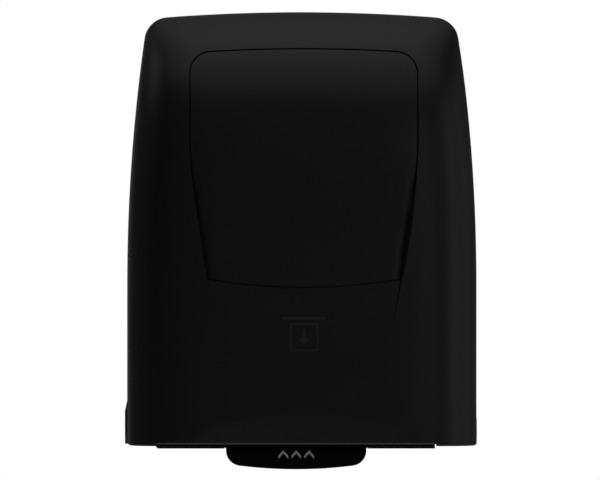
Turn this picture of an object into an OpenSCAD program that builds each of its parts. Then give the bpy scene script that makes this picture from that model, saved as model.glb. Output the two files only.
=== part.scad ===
// Wall dispenser for hardwound roll towels: a moulded cover hinged on a rear chassis, a spring-arm
// roll holder, and a drum feed with pinch rollers, a cutting blade and a push paddle.
// Millimetres. +Z is up, the front faces -Y and the wall is the plane Y = 0.
// Heights are measured from the cover's lower lip. Each piece is then lowered by origin_h, so that
// the origin is the middle of the wall screws on the wall face.

/* [Cover] */
// Width across the cover's sides
cover_w = 324.6; // [310:0.2:345]
// Height of the crown above the lip
cover_h = 404; // [396:1:425]
// Depth from the wall to the fullest part of the front
cover_d = 228.6; // [224:0.2:245]
// Wall thickness of the cover
wall = 3; // [2.2:0.1:3.6]
// Radius of the shoulders in the front view
shoulder_r = 19; // [12:1:26]
// Rise of the crown over the shoulders
crown_rise = 4.8; // [2:0.2:8]
// Height up to which the sides are straight
side_straight_h = 150; // [120:5:180]
// Radius of the side curve above that height
side_curve_r = 1624; // [1400:10:2600]
// Height at which the front starts to round back into the roof
round_h = 250; // [230:5:262]
// How far the lip sits behind the fullest part of the front
front_lean = 6; // [2:0.5:8]
// Squareness of the plan view
plan_power = 6.5; // [5:0.5:8]
// Squareness of the roof in the side view
roof_power = 2.8; // [2.5:0.1:3.6]
// Height of the cut-back apron
apron_h = 32; // [24:1:40]
// Angle of the cut-back apron
apron_tilt = 11; // [8:1:12]
// Clearance between pieces that face each other without running
clearance = 0.3; // [0.2:0.05:0.4]

/* [Front panel] */
// Width of the panel at its top
panel_w = 211; // [195:1:220]
// Height of the panel's upper edge at its middle
panel_top_h = 368.5; // [362:0.5:374]
// Height of the panel's lower edge at its middle
panel_low_h = 147; // [140:1:155]
// Rise of the arched upper edge
panel_arch = 2.6; // [1:0.2:5]
// Sag of the curved lower edge
panel_sag = 7.5; // [4:0.5:11]
// Radius of the panel's upper corners
panel_corner_r = 20; // [14:1:28]
// Seam round the panel
panel_seam = 0.9; // [0.6:0.1:0.95]
// Thickness of the panel
panel_t = 2.5; // [2:0.1:3]
// Height below which the panel's sides draw in
crease_bend_h = 285; // [270:1:300]
// Slope at which they draw in
crease_slope = 0.17; // [0.1:0.005:0.2]
// Depth of the panel below the side wings
wing_depth = 4.5; // [2:0.5:6]
// Height at which the wings start
wing_low_h = 111; // [100:1:125]
// Height at which the wings run out
wing_top_h = 275; // [265:1:300]
// Length of a snap clip behind the panel
clip_len = 14; // [10:1:18]

/* [Chassis] */
// Thickness of the back plate
plate_t = 3; // [2.5:0.1:4]
// Depth of the rim inside the cover
rim_d = 24; // [16:1:26]
// Thickness of the rim
rim_t = 2.5; // [2:0.1:3]
// Gap between the rim and the cover
rim_gap = 0.6; // [0.5:0.1:0.8]
// Height at which the rim starts, above the hinge
rim_low_h = 46; // [44:1:60]
// Height of the origin above the lip
origin_h = 245; // [240:1:255]
// Diameter of the wall-screw holes
screw_hole_d = 6; // [4:0.5:7]
// Distance of the wall screws from the cover's sides
screw_inset = 27.3; // [26:0.1:32]
// Spacing of the wall screws along Z
screw_dz = 190; // [170:1:196]
// Width of the stiffening ribs
rib_t = 2.5; // [2:0.1:3.5]
// Height of the stiffening ribs
rib_d = 9; // [5:0.5:10]

/* [Cover hinge] */
// Distance of the hinge axis from the wall
hinge_back = 15; // [14:0.5:17]
// Height of the hinge axis above the lip
hinge_h = 13; // [12:0.5:13.5]
// Radius of the hinge ears
ear_r = 12.5; // [11:0.5:12.5]
// Height of the ear's web on the back plate
ear_h = 41; // [34:1:42]
// How far the ears stand out past the cover's sides
ear_proud = 2.1; // [1.5:0.1:3]
// Diameter of the hinge pins
hinge_pin_d = 7; // [5:0.5:8]
// Width of the cover's hinge knuckles
knuckle_w = 7; // [5:0.5:9]
// Radial running clearance of pins and shafts
running = 0.05; // [0.03:0.01:0.08]

/* [Lock] */
// Distance of the lock axis from the wall
lock_back = 42; // [40:1:46]
// Diameter of the lock barrel
barrel_d = 19; // [16:0.5:19]
// Length of the lock barrel below the roof
barrel_len = 16; // [12:1:18]
// Diameter of the key plug
plug_d = 12; // [10:0.5:13]
// Length of the cam from the lock axis
cam_len = 20; // [17:0.5:21]
// Width of the cam
cam_w = 8; // [6:0.5:9]
// Thickness of the cam
cam_t = 2.5; // [2:0.1:3]

/* [Roll holder] */
// Space from each end of the paper roll to the cover's side, for arms, gears and side plates
roll_space = 60.7; // [60:0.1:66]
// Distance of the roll axis from the wall
roll_back = 108; // [104:1:112]
// Height of the roll axis above the lip
roll_h = 270; // [262:1:276]
// Diameter of the hub plug that fills the roll's core
hub_plug_d = 38; // [34:0.5:42]
// Length of the hub plug
hub_plug_len = 14; // [10:0.5:18]
// Diameter of the hub flange
hub_flange_d = 60; // [52:1:70]
// Thickness of the hub flange
hub_flange_t = 3; // [2.5:0.1:4]
// Diameter of the hub axle
hub_axle_d = 10; // [8:0.5:12]
// Thickness of the arms
arm_t = 6; // [5:0.5:7]
// Distance of the arm pivots from the wall
arm_pivot_back = 16; // [14:0.5:18]
// Height of the arm's own knuckle
arm_knuckle_h = 24; // [20:1:28]
// Diameter of the arm pins
arm_pin_d = 4; // [3:0.5:5]

/* [Feed module] */
// Shift of the module to the left of the cover's middle
module_shift = 7; // [0:0.5:8]
// Space beyond each end of the roll, for gears and side plates
end_space = 27; // [26:0.5:28]
// Thickness of the side plates
side_t = 4; // [3:0.1:4.5]
// Length of one sheet, which is one turn of the drum
sheet_len = 305; // [280:1:310]
// Distance of the drum axis behind the fullest part of the front
drum_depth = 133.6; // [130:0.2:137]
// Height of the drum axis above the lip
drum_h = 85; // [83:1:90]
// Thickness of the rubber grip bands
band_t = 1.2; // [0.8:0.1:1.6]
// Width of a grip band
band_w = 14; // [10:1:18]
// Number of grip bands and pinch rollers
band_count = 5; // [3:1:7]
// Diameter of the drum shaft
drum_shaft_d = 10; // [8:0.5:12]
// Outer diameter of the drum bearings
bearing_d = 22; // [19:0.5:26]
// Diameter of the pinch rollers
pinch_d = 22; // [18:0.5:24]
// Diameter of the pinch shaft
pinch_shaft_d = 8; // [6:0.5:9]
// Angle of the pinch rollers above the drum axis
pinch_angle = 25; // [22:1:30]
// Gap for the paper between drum and pinch rollers
paper_gap = 0.3; // [0.2:0.05:0.5]
// Diameter of the hand knob
knob_d = 48; // [40:1:54]
// Room for fingers between the knob and the cover's side
knob_gap = 20; // [16:0.5:24]
// Number of finger flutes on the knob
knob_flutes = 12; // [8:1:16]

/* [Paddle] */
// Width of the push paddle
paddle_w = 130; // [110:1:140]
// How far the paddle hangs below the lip
paddle_drop = 21.4; // [18:0.2:24]
// Radius of the paddle's lower corners
paddle_corner_r = 14; // [8:1:16]
// Radius of the paddle's lower edge
paddle_edge_r = 420; // [300:10:800]
// Thickness of the paddle
paddle_t = 4.5; // [3.5:0.1:5]
// Diameter of the paddle shaft
paddle_shaft_d = 6; // [5:0.5:7]
// Module of the gears
gear_module = 1.5; // [1.4:0.05:1.6]
// Teeth of the whole gear that the sector is cut from
sector_teeth = 96; // [92:2:100]
// Teeth of the clutch gear on the drum shaft
clutch_teeth = 36; // [32:2:38]
// Angle at which the paddle shaft lies below the drum
paddle_fall = 19.5; // [18:0.5:22]
// Working travel of the paddle
paddle_travel = 22; // [15:1:22]
// Face width of the gears
gear_w = 6; // [4:0.5:6.5]
// Wire of the coil springs
spring_wire = 1.2; // [0.9:0.1:1.4]

/* [Hidden] */
$fn = 64;

// Colours of the mouldings, metal and rubber
black_plastic = "#19191b";
grey_plastic = "#8d9196";
pale_plastic = "#d8d8d2";
green_plastic = "#4f9a4a";
steel = "#b9bcc0";
brass_colour = "#b8964f";
rubber = "#2a2a2c";

// Cover: heights and depths that follow from the driving sizes
back_edge = plate_t + clearance;
shoulder_h = cover_h - crown_rise;
screw_dx = cover_w - 2 * screw_inset;
eps = 0.01;
beyond = 60;

// Grid of the cover's skin: rows up the front and over the roof, columns from right to left
apron_rows = 4;
front_rows = 10;
roof_rows = 14;
side_cols = 9;
mid_cols = 6;
last_col = 2 * side_cols + mid_cols + 2;

// Half width of the cover's outline at a height, with the shoulder rounded off
function side_half(h) = cover_w / 2 - pow(max(0, h - side_straight_h), 2) / (2 * side_curve_r);
function shoulder_cut(h) =
    let (up = max(0, h - shoulder_h + shoulder_r))
    shoulder_r - sqrt(max(0, shoulder_r * shoulder_r - up * up));
function half_w(h) = side_half(h) - shoulder_cut(h);

// Depth of the front below round_h, and the limit that the cut-back apron sets
function front_depth(h) = cover_d - front_lean * pow((round_h - h) / round_h, 2);
function apron_limit(h) =
    h < apron_h ? front_depth(apron_h) - (apron_h - h) * tan(apron_tilt) : cover_d;

// Share of the depth that the plan view keeps at u = x / half width
function plan_share(u) = pow(max(0, 1 - pow(abs(u), plan_power)), 1 / plan_power);

// Crease between panel and wing: its distance from the middle, and the slanting step across it
crease_round = 40;
wing_slant = 0.65;
wing_ease = 1.3;
function crease(h) =
    let (down = max(0, crease_bend_h - h))
    panel_w / 2 - crease_slope * (sqrt(down * down + crease_round * crease_round) - crease_round);
function wing_step(h) =
    h <= wing_low_h || h >= wing_top_h ? 0
    : wing_depth * pow(sin(180 * (h - wing_low_h) / (wing_top_h - wing_low_h)), wing_ease);

// Bevel along the outer edge of the lip
lip_bevel = 2;

// One row of the skin, inset by t: [height on the outer skin, own height, depth, half width, t]
function front_row(h, t) = [h, h, front_depth(h) - t, half_w(h) - t, t];
function roof_row(i, t) =
    let (up = pow(sin(90 * i / roof_rows), 2 / roof_power))
    let (out = pow(cos(90 * i / roof_rows), 2 / roof_power))
    let (h = round_h + (shoulder_h - round_h) * up)
    [h, round_h + (shoulder_h - t - round_h) * up,
     back_edge + (cover_d - t - back_edge) * out, half_w(h) - t, t];
function skin_rows(t) = concat(
    [front_row(0, max(t, lip_bevel))],
    [for (i = [0:apron_rows]) front_row(lip_bevel + (apron_h - lip_bevel) * i / apron_rows, t)],
    [for (i = [1:front_rows]) front_row(apron_h + (round_h - apron_h) * i / front_rows, t)],
    [for (i = [1:roof_rows]) roof_row(i, t)]);

// Point of a row at x; sunk is 1 between the creases and 0 on the wings
function crown(h) = h < round_h ? 0 : crown_rise * pow((h - round_h) / (shoulder_h - round_h), 2);
function skin_point(row, x, sunk) =
    let (full = back_edge + (row[2] - back_edge) * plan_share(x / row[3]))
    let (depth = min(full, apron_limit(row[0]) - row[4]))
    [x, sunk * wing_step(row[0]) - depth, row[1] + crown(row[0]) * (1 - pow(x / row[3], 2))];

// x of a column: the sides are spread round the corner, the middle evenly between the creases, which
// keep inside the narrowing roof
shoulder_room = 8;
function crease_x(row) = min(crease(row[0]) + row[4], row[3] - shoulder_room);
function side_x(row, share) =
    let (edge = crease_x(row) + wing_slant * wing_step(row[0]))
    let (turn = acos(pow(edge / row[3], plan_power / 2)))
    row[3] * pow(cos(turn * share), 2 / plan_power);
function column_x(row, j) =
    j <= side_cols ? side_x(row, j / side_cols)
    : j >= side_cols + mid_cols + 2 ? -side_x(row, (last_col - j) / side_cols)
    : crease_x(row) * (1 - 2 * (j - side_cols - 1) / mid_cols);
function is_mid(j) = j > side_cols && j < side_cols + mid_cols + 2;

// Column that stands for column j where there is no step, so that the crease closes up
function joined_column(row, j) =
    wing_step(row[0]) > 0 ? j
    : j == side_cols + 1 ? side_cols
    : j == side_cols + mid_cols + 1 ? side_cols + mid_cols + 2
    : j;

// Two triangles of a four-sided face, without those that have shrunk to a line
function halves(q) = [
    for (f = [[q[0], q[1], q[2]], [q[0], q[2], q[3]]])
        if (f[0] != f[1] && f[1] != f[2] && f[2] != f[0]) f
];

// Closed sheet between an outer and an inner grid of the same rows and columns
module sheet(outer, inner, index) {
    rows = len(index) - 1;
    cols = len(index[0]) - 1;
    n = len(outer);
    outside = [for (i = [0:rows - 1]) for (j = [0:cols - 1])
        [index[i][j], index[i][j + 1], index[i + 1][j + 1], index[i + 1][j]]];
    inside = [for (q = outside) [q[3] + n, q[2] + n, q[1] + n, q[0] + n]];
    low = [for (j = [0:cols - 1]) [index[0][j + 1], index[0][j]]];
    high = [for (j = [0:cols - 1]) [index[rows][j], index[rows][j + 1]]];
    right = [for (i = [0:rows - 1]) [index[i][0], index[i + 1][0]]];
    left = [for (i = [0:rows - 1]) [index[i + 1][cols], index[i][cols]]];
    edges = [for (e = concat(low, high, right, left)) [e[0], e[1], e[1] + n, e[0] + n]];
    quads = concat(outside, inside, edges);
    polyhedron(points = concat(outer, inner), faces = [for (q = quads) each halves(q)], convexity = 8);
}

// Skin of the cover as one closed sheet of thickness wall
module cover_skin() {
    rows = skin_rows(0);
    grid = function (t) [for (row = skin_rows(t)) for (j = [0:last_col])
        skin_point(row, column_x(row, j), is_mid(j) ? 1 : 0)];
    index = [for (i = [0:len(rows) - 1]) [for (j = [0:last_col])
        i * (last_col + 1) + joined_column(rows[i], j)]];
    sheet(grid(0), grid(wall), index);
}

// Part of the sunk middle, larger than the panel all round, as a sheet of thickness panel_t
module panel_skin() {
    margin = 22;
    side_margin = 6;
    cols = 8;
    half = panel_w / 2 + side_margin;
    grid = function (t) [for (row = skin_rows(t))
        if (row[0] > panel_low_h - margin && row[0] < panel_top_h + margin)
            for (j = [0:cols]) skin_point(row, half * (1 - 2 * j / cols), 1)];
    outer = grid(0);
    index = [for (i = [0:len(outer) / (cols + 1) - 1]) [for (j = [0:cols]) i * (cols + 1) + j]];
    sheet(outer, grid(panel_t), index);
}

// Right half of the panel's outline from the lower corner to the top, grown outwards by g
panel_shoulder_h = panel_top_h - panel_arch - panel_corner_r;
function panel_right(g) =
    let (low = panel_low_h + panel_sag - g, flat = panel_w / 2 - panel_corner_r, r = panel_corner_r + g)
    concat(
        [for (i = [0:12]) let (h = low + (panel_shoulder_h - low) * i / 12) [crease(h) + g, h]],
        [for (a = [10:10:80]) [flat + r * cos(a), panel_shoulder_h + r * sin(a)]],
        [for (i = [0:5]) let (x = flat * (1 - i / 5))
            [x, panel_shoulder_h + r + panel_arch * (1 - pow(x / flat, 2))]]);
function panel_base(g) =
    let (low = panel_low_h + panel_sag - g, half = crease(low) + g)
    [for (i = [1:11]) let (x = half * (i / 6 - 1)) [x, low - panel_sag * (1 - pow(x / half, 2))]];
function mirrored(points) = [for (i = [len(points) - 1:-1:0]) [-points[i][0], points[i][1]]];
function panel_outline(g) = concat(panel_right(g), mirrored(panel_right(g)), panel_base(g));

// Outline of the cover in the front view, inset by t
function outline_right(t) = [for (row = skin_rows(t)) [row[3], row[1]]];
function outline(t) =
    let (right = outline_right(t), top = right[len(right) - 1])
    let (arch = [for (i = [1:11]) let (u = 1 - i / 6) [top[0] * u, top[1] + crown_rise * (1 - u * u)]])
    concat(right, arch, mirrored(right));

// Arc of a corner b between a and c, for outlines with rounded corners
function corner_arc(a, b, c, r) =
    let (u = (a - b) / norm(a - b), v = (c - b) / norm(c - b))
    let (half = acos(u * v) / 2, centre = b + (u + v) / norm(u + v) * r / sin(half))
    let (s = b + u * r / tan(half) - centre, e = b + v * r / tan(half) - centre)
    let (start = atan2(s[1], s[0]), turn = (180 - 2 * half) * sign(cross(s, e)))
    [for (i = [0:6]) centre + r * [cos(start + turn * i / 6), sin(start + turn * i / 6)]];
function rounded(points, r) =
    let (n = len(points))
    [for (i = [0:n - 1]) each corner_arc(points[(i + n - 1) % n], points[i], points[(i + 1) % n], r)];

// Colour and final place of a piece
module piece(paint) color(paint) translate([0, 0, -origin_h]) children();

// Extrude a front view (x, z) forwards from the distance y0 in front of the wall
module forward(y0, depth) translate([0, -y0, 0]) rotate([90, 0, 0]) linear_extrude(depth) children();

// Extrude a side view (y, z) to the right from x0
module across(x0, width) translate([x0, 0, 0]) rotate([90, 0, 90]) linear_extrude(width) children();

// Cylinder along X from x0, centred on a point of the side view
module rod(x0, length, p, d) translate([x0, p[0], p[1]]) rotate([0, 90, 0]) cylinder(d = d, h = length);

// Ring along X
module ring(x0, length, p, outer_d, inner_d) difference() {
    rod(x0, length, p, outer_d);
    rod(x0 - 1, length + 2, p, inner_d);
}

// Both sides: children as drawn for the right, and their mirror image
module both_sides() {
    children();
    mirror([1, 0, 0]) children();
}

// Side view of a bar with two round ends
module link(p, pr, q, qr) {
    span = norm(q - p);
    along = (q - p) / span;
    lean = acos((pr - qr) / span);
    dir = function (a) [along[0] * cos(a) - along[1] * sin(a), along[0] * sin(a) + along[1] * cos(a)];
    translate(p) circle(pr);
    translate(q) circle(qr);
    polygon([p + pr * dir(lean), p + pr * dir(-lean), q + qr * dir(-lean), q + qr * dir(lean)]);
}

// Coil of round wire along Z, as one unbroken tube
module coil(mean_r, wire_d, turns, pitch) {
    sides = 6;
    steps = turns * 16;
    points = [for (i = [0:steps]) for (k = [0:sides - 1])
        let (a = 360 * i / 16, b = 360 * k / sides, r = mean_r + wire_d / 2 * cos(b))
        [r * cos(a), r * sin(a), pitch * i / 16 + wire_d / 2 * sin(b)]];
    walls = [for (i = [0:steps - 1]) for (k = [0:sides - 1])
        let (k2 = (k + 1) % sides)
        [i * sides + k, (i + 1) * sides + k, (i + 1) * sides + k2, i * sides + k2]];
    first = [for (k = [1:sides - 2]) [0, k, k + 1]];
    last = [for (k = [1:sides - 2]) [steps * sides, steps * sides + k + 1, steps * sides + k]];
    polyhedron(points = points, faces = concat([for (q = walls) each halves(q)], first, last), convexity = 8);
}

// Gear teeth with involute flanks
pressure = 20;
backlash = 0.2;
function roll_off(a) = tan(a) * 180 / PI - a;
function flank(n, r) =
    let (pitch_r = gear_module * n / 2, base_r = pitch_r * cos(pressure))
    90 / n - backlash / pitch_r * 90 / PI + roll_off(pressure) - roll_off(acos(min(1, base_r / r)));
function tooth(n, middle) =
    let (pitch_r = gear_module * n / 2, root_r = pitch_r - 1.25 * gear_module)
    let (from = max(root_r, pitch_r * cos(pressure)), to = pitch_r + gear_module)
    let (radii = concat([root_r], [for (i = [0:4]) from + (to - from) * i / 4]))
    let (side = [for (r = radii) [r, flank(n, max(r, from))]])
    concat(
        [for (s = side) s[0] * [cos(middle - s[1]), sin(middle - s[1])]],
        [for (i = [len(side) - 1:-1:0]) side[i][0] * [cos(middle + side[i][1]), sin(middle + side[i][1])]]);

// Hinge and rear ears
hinge_at = [-hinge_back, hinge_h];
ear_in = cover_w / 2 - wall + clearance;
ear_out = cover_w / 2 + ear_proud;
ear_step = 3;
ear_gap = 0.5;
knuckle_r = 10;
knuckle_arm = [-38, 6];
knuckle_arm_r = 9;
module ear_view(g) {
    translate(hinge_at) circle(ear_r + g);
    translate([ear_step - hinge_back - g, hinge_h]) square([hinge_back - ear_step + g, ear_h - hinge_h + g]);
}

// Hinge ear of the back plate, its outer face cut back towards the top
ear_taper_h = 10;
module hinge_ear() intersection() {
    across(ear_in, ear_out - ear_in) ear_view(0);
    forward(-1, hinge_back + ear_r + 2) polygon([
        [ear_in, -1], [ear_out, -1], [ear_out, ear_h - ear_taper_h],
        [ear_out - ear_proud, ear_h], [ear_in, ear_h],
    ]);
}

// Room in the cover's side for an ear, open to the wall and to below
module ear_notch_view() {
    ear_view(ear_gap);
    translate([-hinge_back, -beyond]) square([beyond, beyond + hinge_h]);
}

// Roll holder: the roll is as wide as the cover and the space at its ends allow
roll_w = cover_w - 2 * roll_space;
arm_in = roll_w / 2 + hub_flange_t + clearance;
arm_pivot = [arm_in + arm_t / 2, -arm_pivot_back];
roll_at = [-roll_back, roll_h];
arm_knuckle_r = 6;
arm_tip_r = 16;
arm_rim = 3;
arm_root = 10;
seat_knuckle_h = 10;
seat_web = 8;
arm_pin_top = 10;

// Feed module: half widths, and the axes in the side view
module_half = roll_w / 2 + end_space;
side_in = module_half - side_t;
drum_beyond = 4;
drum_half = roll_w / 2 + drum_beyond;
drum_r = sheet_len / (2 * PI);
drum_back = cover_d - drum_depth;
drum_at = [-drum_back, drum_h];
pinch_at = drum_at + (drum_r + paper_gap + pinch_d / 2) * [-cos(pinch_angle), sin(pinch_angle)];
gear_centres = gear_module * (sector_teeth + clutch_teeth) / 2;
paddle_at = drum_at - gear_centres * [cos(paddle_fall), sin(paddle_fall)];
gear_gap = 4.5;
gear_x = -side_in + gear_gap;
band_pitch = (2 * drum_half - 2 * band_w) / (band_count - 1);
function band_x(i) = -drum_half + band_w / 2 + i * band_pitch;
module in_module() translate([-module_shift, 0, 0]) children();

// Small screws that hold the side plates and the lock keeper on the back plate
flange_w = 12;
flange_h = 20;
flange_t = 3;
flange_screw_h = [32, 126];
small_screw_d = 3.4;
small_head_d = 7;
small_head_t = 2.4;
screw_bite = 2;

// Lock: a pocket in the roof for its rim, the cam, and the keeper that the cam turns in behind
lock_pocket = 1.8;
lock_face_h = cover_h - lock_pocket;
barrel_rim_w = 2.5;
barrel_rim_t = 0.8;
barrel_rim_d = barrel_d + 2 * barrel_rim_w;
cam_low = cover_h - wall - barrel_len - cam_t;
keeper_x = barrel_d / 2 + 1;
keeper_over = 4;
keeper_w = cam_len - keeper_x + keeper_over;
keeper_h = 22;
keeper_drop = 3;
keeper_shelf_h = cam_low - keeper_drop;
keeper_front = lock_back + cam_w / 2 + clearance + flange_t;
keeper_screw_drop = [8, 17];

// Paper chute
chute_low = -2.2;
chute_t = 2.5;
chute_lip_h = 5;
chute_rise = 30;
chute_setback = 20;
chute_back = hinge_back + chute_setback;
chute_wall_rise = 15;
chute_gap = 19.6;
chute_front = cover_d - front_lean - chute_gap;
slot_inset = 8;
slot_back = drum_back + drum_r + 1;
slot_front = -paddle_at[0] - slot_inset;
guide_r = drum_r + 3;
guide_start = 6;
guide_short = 20;
guide_len = 2 * drum_r - guide_short;

// Cut-out in the cover's lip over the chute
lip_cut_h = 1.8;
lip_cut_side = 3;

// Back plate with rim, ribs, screw pads, hinge ears and arm knuckles, moulded in one
module rear_chassis() piece(black_plastic) difference() {
    union() {
        forward(0, plate_t) difference() {
            polygon(outline(0));
            both_sides() translate([ear_in - knuckle_w - knuckle_room, -1]) square([beyond, hinge_h + 1]);
        }
        forward(plate_t - eps, rim_d) difference() {
            polygon(outline(wall + rim_gap));
            polygon(outline(wall + rim_gap + rim_t));
            translate([-cover_w, -1]) square([2 * cover_w, rim_low_h + 1]);
        }
        chassis_ribs();
        wall_screw_places() cylinder(d = screw_pad_d, h = plate_t + screw_pad_t);
        both_sides() hinge_ear();
        both_sides() arm_seat();
    }
    both_sides() rod(ear_in - 1, ear_out - ear_in + 2, hinge_at, hinge_pin_d + 2 * running);
    both_sides() translate([arm_pivot[0], arm_pivot[1], roll_h - beyond])
        cylinder(d = arm_pin_d + 2 * running, h = 2 * beyond);
    wall_screw_places() translate([0, 0, -1]) cylinder(d = screw_hole_d, h = plate_t + screw_pad_t + 2);
    small_screw_places() translate([0, 0, plate_t - screw_bite])
        cylinder(d = small_screw_d, h = screw_bite + 1);
}
knuckle_room = 2;
screw_pad_d = 16;
screw_pad_t = 2;

// Children drawn along the axis of each wall screw, from the wall forwards
module wall_screw_places()
    for (x = [-1, 1], z = [-1, 1])
        translate([x * screw_dx / 2, 0, origin_h + z * screw_dz / 2]) rotate([90, 0, 0]) children();

// Upright and level ribs on the back plate
rib_low_h = 155;
rib_top_drop = 60;
rib_pitch = 60;
rib_reach = 75;
module chassis_ribs() {
    high = shoulder_h - rib_top_drop;
    forward(plate_t - eps, rib_d) {
        for (i = [-1:1]) translate([i * rib_pitch - rib_t / 2, rib_low_h]) square([rib_t, high - rib_low_h]);
        for (h = [rib_low_h, high]) translate([-rib_reach, h - rib_t / 2]) square([2 * rib_reach, rib_t]);
    }
}

// Two knuckles on the back plate that carry an arm's pin
module arm_seat() {
    for (side = [-1, 1]) {
        low = side > 0 ? arm_knuckle_h / 2 + clearance : -arm_knuckle_h / 2 - clearance - seat_knuckle_h;
        translate([arm_pivot[0], arm_pivot[1], roll_h + low]) cylinder(r = arm_knuckle_r, h = seat_knuckle_h);
        translate([arm_pivot[0] - seat_web / 2, arm_pivot[1], roll_h + low])
            cube([seat_web, arm_pivot_back - plate_t + eps, seat_knuckle_h]);
    }
}

// Pins of the cover hinge
module hinge_pins() piece(steel)
    both_sides() rod(ear_in - clearance - knuckle_w, ear_out - ear_in + knuckle_w, hinge_at, hinge_pin_d);

// Moulded cover with hinge knuckles, a lock hole, the panel's opening and a cut-out over the chute
module front_cover() piece(black_plastic) difference() {
    union() {
        cover_skin();
        both_sides() across(ear_in - clearance - knuckle_w, knuckle_w + ear_gap)
            link(hinge_at, knuckle_r, hinge_at + knuckle_arm, knuckle_arm_r);
    }
    forward(cover_d / 2, cover_d) polygon(panel_outline(panel_seam - clearance));
    both_sides() across(ear_in - ear_gap, beyond) ear_notch_view();
    both_sides() rod(ear_in - beyond, 2 * beyond, hinge_at, hinge_pin_d + 2 * running);
    translate([0, -lock_back, cover_h - 2 * wall - crown_rise])
        cylinder(d = barrel_d + 2 * running, h = beyond);
    translate([0, -lock_back, lock_face_h]) cylinder(d = barrel_rim_d + 2 * clearance, h = beyond);
    in_module() translate([-module_half - lip_cut_side, -cover_d, lip_cut_h - beyond])
        cube([2 * (module_half + lip_cut_side), cover_d / 2, beyond]);
}

// Inset front panel, snapped into the cover by clips at its lower edge
module cover_panel() piece(black_plastic) {
    intersection() {
        panel_skin();
        forward(cover_d / 2, cover_d) polygon(panel_outline(-clearance));
    }
    for (i = [-1:1]) panel_clip(i * panel_w / 4);
}

// Clip behind the panel's lower edge that reaches down behind the cover's wall
clip_t = 1.8;
clip_gap = 0.8;
clip_sink = 0.6;
clip_rise = 12;
clip_drop = 5;
clip_knee = [1, 3];
module panel_clip(x) {
    low = panel_low_h + panel_sag * pow(x / crease(panel_low_h), 2);
    face = wing_step(low) - front_depth(low) * plan_share(x / half_w(low));
    root = face + panel_t - clip_sink;
    behind = face + max(wall, panel_t) + clip_gap;
    across(x - clip_len / 2, clip_len) polygon([
        [root, low + clip_rise], [root, low + clip_knee[1]], [behind, low + clip_knee[0]],
        [behind, low - clip_drop], [behind + clip_t, low - clip_drop], [behind + clip_t, low + clip_rise],
    ]);
}

// Lock barrel in the roof, with a thin rim that lies in the pocket
module lock_barrel() piece(steel) translate([0, -lock_back, 0]) difference() {
    union() {
        translate([0, 0, cam_low + cam_t + clearance])
            cylinder(d = barrel_d, h = lock_face_h - cam_low - cam_t);
        translate([0, 0, lock_face_h + running]) cylinder(d = barrel_rim_d, h = barrel_rim_t);
    }
    translate([0, 0, cam_low]) cylinder(d = plug_d + 2 * running, h = beyond);
}

// Key plug, with a slot for the key
plug_proud = 0.6;
key_slot = [8, 1.4, 4];
module lock_plug() piece(brass_colour) translate([0, -lock_back, 0]) difference() {
    translate([0, 0, cam_low + cam_t]) cylinder(d = plug_d, h = lock_face_h + plug_proud - cam_low - cam_t);
    translate([-key_slot[0] / 2, -key_slot[1] / 2, lock_face_h - key_slot[2]])
        cube([key_slot[0], key_slot[1], key_slot[2] + 1]);
}

// Cam under the plug, drawn unlocked, pointing to the wall
module lock_cam() piece(steel) translate([0, -lock_back, cam_low]) {
    cylinder(d = cam_w, h = cam_t);
    translate([-cam_w / 2, 0, 0]) cube([cam_w, cam_len, cam_t]);
}

// Keeper for the cam: a tab on the back plate, a shelf and an upright
module lock_keeper() piece(grey_plastic) difference() {
    across(keeper_x, keeper_w) polygon([
        [-plate_t, keeper_shelf_h], [-plate_t, keeper_shelf_h - keeper_h],
        [-plate_t - flange_t, keeper_shelf_h - keeper_h], [-plate_t - flange_t, keeper_shelf_h - flange_t],
        [-keeper_front, keeper_shelf_h - flange_t], [-keeper_front, cam_low + cam_t + 1],
        [-keeper_front + flange_t, cam_low + cam_t + 1], [-keeper_front + flange_t, keeper_shelf_h],
    ]);
    small_screw_places() cylinder(d = small_screw_d + 2 * running, h = beyond / 2);
}

// Arm of the roll holder, drawn for the right
axle_setback = 1;
axle_root = 3;
axle_boss_t = 3;
module roll_arm() difference() {
    root = roll_at + [roll_back - arm_pivot_back - arm_root, 0];
    root_r = arm_knuckle_h / 2;
    union() {
        difference() {
            across(arm_in, arm_t) link(root, root_r, roll_at, arm_tip_r);
            across(arm_in + arm_t / 2, arm_t) link(root, root_r - arm_rim, roll_at, arm_tip_r - arm_rim);
        }
        rod(arm_in, arm_t, roll_at, hub_axle_d + 2 * axle_boss_t);
        rod(roll_w / 2 - hub_plug_len + axle_setback, hub_plug_len + hub_flange_t + axle_root - axle_setback,
            roll_at, hub_axle_d);
        translate([arm_pivot[0], arm_pivot[1], roll_h - arm_knuckle_h / 2])
            cylinder(r = arm_knuckle_r, h = arm_knuckle_h);
    }
    translate([arm_pivot[0], arm_pivot[1], roll_h - beyond])
        cylinder(d = arm_pin_d + 2 * running, h = 2 * beyond);
}
module roll_arm_right() piece(grey_plastic) roll_arm();
module roll_arm_left() piece(grey_plastic) mirror([1, 0, 0]) roll_arm();

// Pivot pins of the arms, long enough to carry the springs
arm_pin_low = roll_h - arm_knuckle_h / 2 - clearance - seat_knuckle_h;
arm_pin_len = arm_knuckle_h + 2 * clearance + 2 * seat_knuckle_h + arm_pin_top;
module arm_pins() piece(steel) both_sides()
    translate([arm_pivot[0], arm_pivot[1], arm_pin_low]) cylinder(d = arm_pin_d, h = arm_pin_len);

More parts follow.
